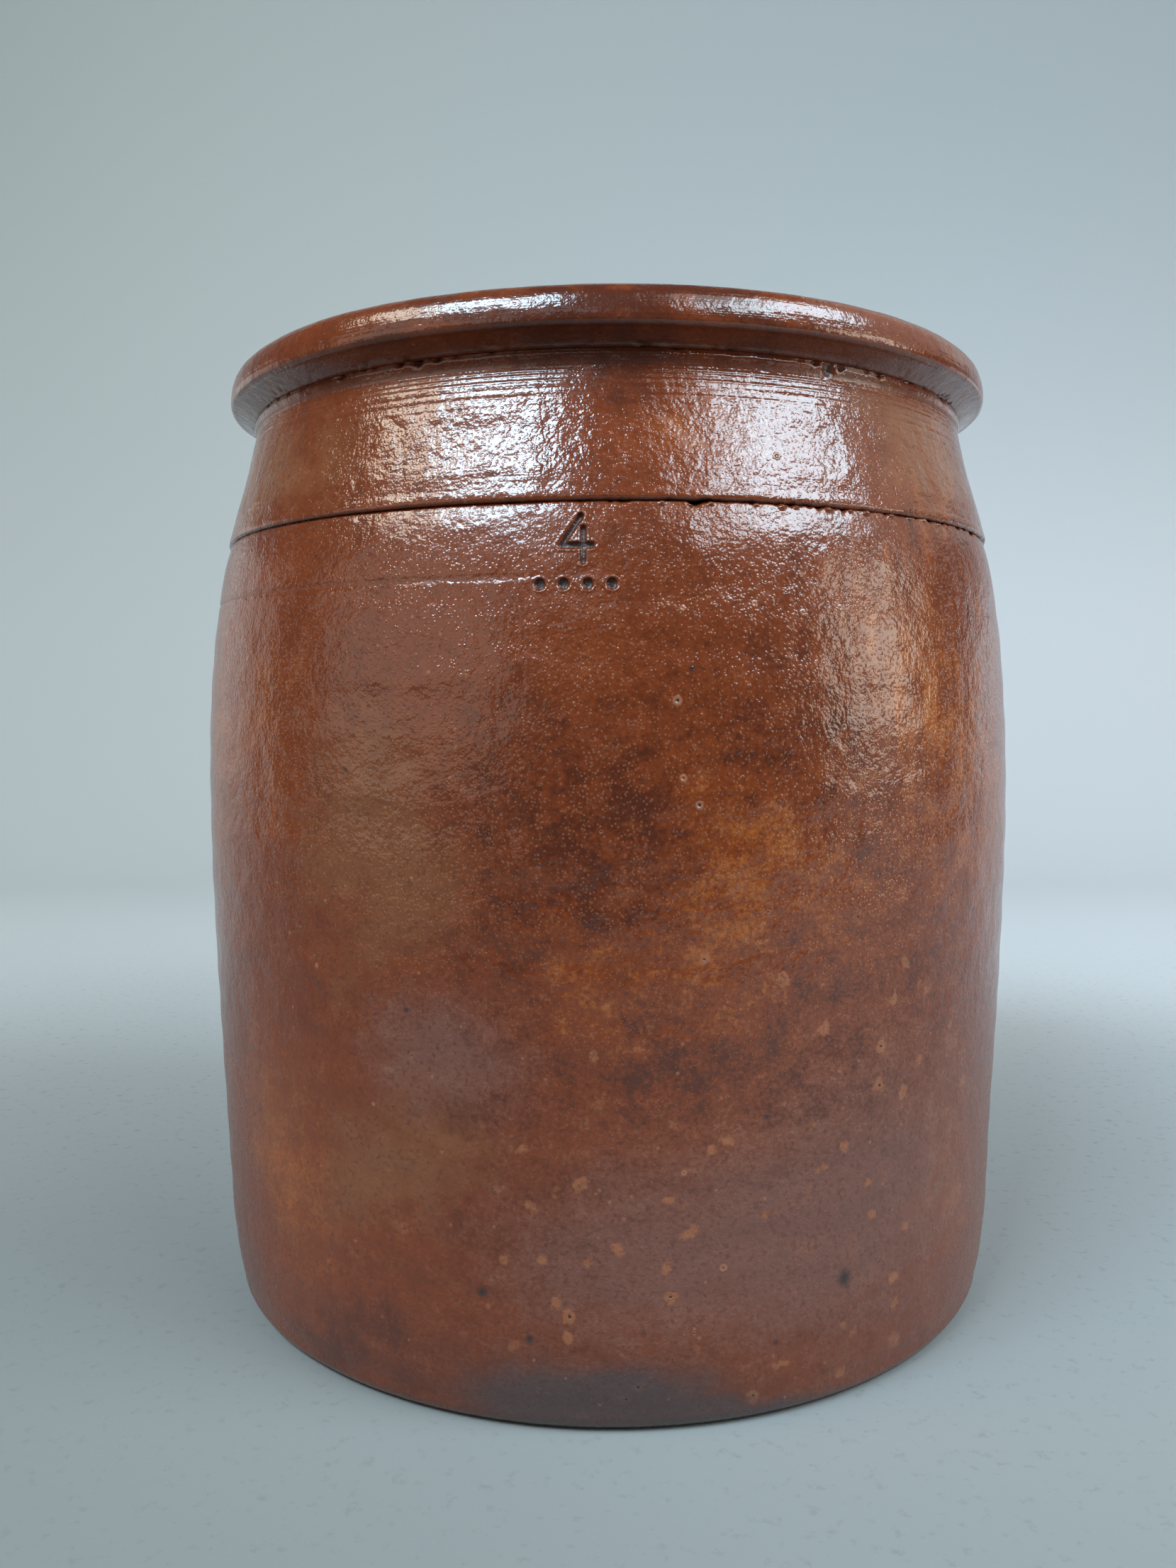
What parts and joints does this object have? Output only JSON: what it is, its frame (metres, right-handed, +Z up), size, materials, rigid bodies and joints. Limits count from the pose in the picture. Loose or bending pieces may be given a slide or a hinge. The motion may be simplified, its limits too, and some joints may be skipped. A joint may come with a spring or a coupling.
{
  "type": "stoneware crock",
  "caption": "Round free-standing storage crock of brown salt-glazed stoneware, with a gently swelling wall, a grooved shoulder, a short neck and a thick rolled rim.",
  "frame": {"origin": "middle of the underside, on the surface that the crock stands on", "axes": "+Z up along the crock's axis of turning, -Y towards the side with the stamped mark"},
  "size_m": [0.19, 0.19, 0.2095],
  "materials": {
    "floor_stoneware": "bare fired clay underneath, thin brown glaze inside",
    "wall_glaze": "glossy red-brown salt glaze with orange-peel texture and orange flashes",
    "neck_glaze": "glossy red-brown salt glaze with orange-peel texture",
    "rim_glaze": "glossy dark red-brown salt glaze"
  },
  "bodies": {
    "root": {"base_disc": "floor_stoneware", "barrel_wall": "wall_glaze", "neck_collar": "neck_glaze", "rim_roll": "rim_glaze"}
  },
  "joints": []
}
